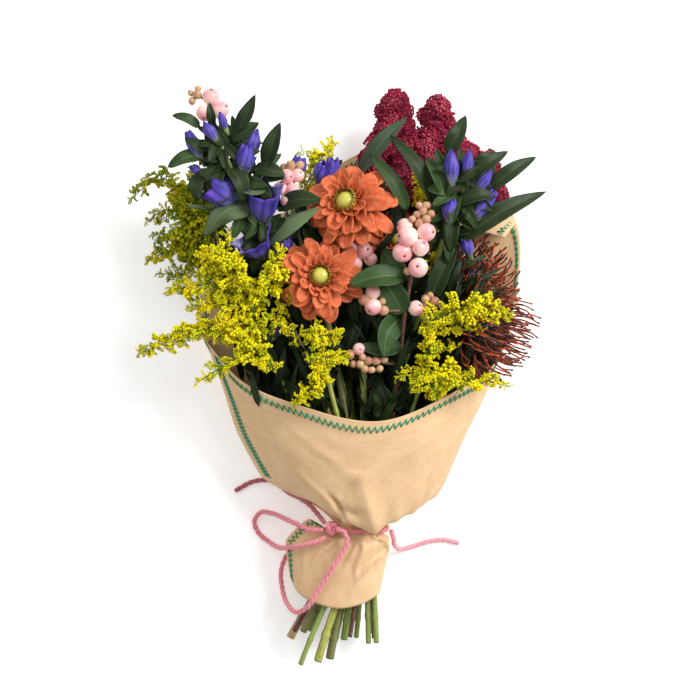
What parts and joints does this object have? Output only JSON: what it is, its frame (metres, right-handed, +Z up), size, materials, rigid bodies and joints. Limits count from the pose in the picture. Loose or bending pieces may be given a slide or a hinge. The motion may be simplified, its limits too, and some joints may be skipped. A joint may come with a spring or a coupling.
{
  "type": "flower bouquet",
  "caption": "Mixed bouquet of dahlias, gentians, goldenrod, snowberries and pincushion flowers in a kraft paper wrap tied with twine, lying on its back",
  "frame": {"origin": "centre of the bottom of the bounding box, on the surface that the bouquet lies on", "axes": "+Y runs from the cut stem ends to the flowers, +Z points up from the surface, +X points to the right as seen from above"},
  "size_m": [0.37, 0.5169, 0.1423],
  "materials": {
    "kraft_paper": "matte",
    "jute_twine": "matte",
    "stem_tan": "matte",
    "stem_woody": "matte",
    "stem_green": "satin",
    "stem_olive": "satin",
    "stem_spotted": "satin",
    "stem_red": "satin",
    "dahlia_petals": "matte",
    "pincushion_styles": "satin",
    "amaranth_grains": "matte",
    "goldenrod_florets": "matte",
    "gentian_blooms": "satin",
    "snowberry_skin": "satin",
    "leaf_green": "satin",
    "leaf_grey": "satin"
  },
  "bodies": {
    "root": {"wrap_paper": "kraft_paper", "twine_collar": "jute_twine", "twine_knot": "jute_twine", "twine_loop_left": "jute_twine", "twine_loop_lower": "jute_twine", "twine_end_left": "jute_twine", "twine_end_right": "jute_twine", "stem_goldenrod_left": "stem_tan", "stem_snowberry_tip": "stem_woody", "stem_gentian_left": "stem_olive", "stem_goldenrod_front_left": "stem_green", "stem_goldenrod_back": "stem_green", "stem_snowberry_back": "stem_green", "stem_dahlia_front": "stem_olive", "stem_goldenrod_front": "stem_spotted", "stem_gentian_back": "stem_olive", "stem_dahlia_low": "stem_green", "stem_dahlia_back": "stem_green", "stem_amaranth": "stem_red", "stem_goldenrod_middle": "stem_green", "stem_gentian_right": "stem_green", "stem_snowberry_top": "stem_woody", "stem_pincushion_back": "stem_woody", "stem_pincushion_front": "stem_woody", "stem_goldenrod_right": "stem_green", "dahlia_back": "dahlia_petals", "dahlia_front": "dahlia_petals", "dahlia_low": "dahlia_petals", "pincushion_front": "pincushion_styles", "pincushion_back": "pincushion_styles", "amaranth_plume": "amaranth_grains", "goldenrod_left": "goldenrod_florets", "goldenrod_front_left": "goldenrod_florets", "goldenrod_front": "goldenrod_florets", "goldenrod_right": "goldenrod_florets", "goldenrod_middle": "goldenrod_florets", "goldenrod_back": "goldenrod_florets", "gentian_left": "gentian_blooms", "gentian_right": "gentian_blooms", "gentian_back": "gentian_blooms", "snowberries_tip": "snowberry_skin", "snowberries_back": "snowberry_skin", "snowberries_gap": "snowberry_skin", "snowberries_top": "snowberry_skin", "snowberries_left": "snowberry_skin", "snowberries_right": "snowberry_skin", "snowberries_low": "snowberry_skin", "leaf_grey": "leaf_grey", "leaf_snowberry_large": "leaf_green", "leaf_snowberry_dark": "leaf_green", "leaf_snowberry_behind": "leaf_green", "leaf_right": "leaf_green"}
  },
  "joints": []
}
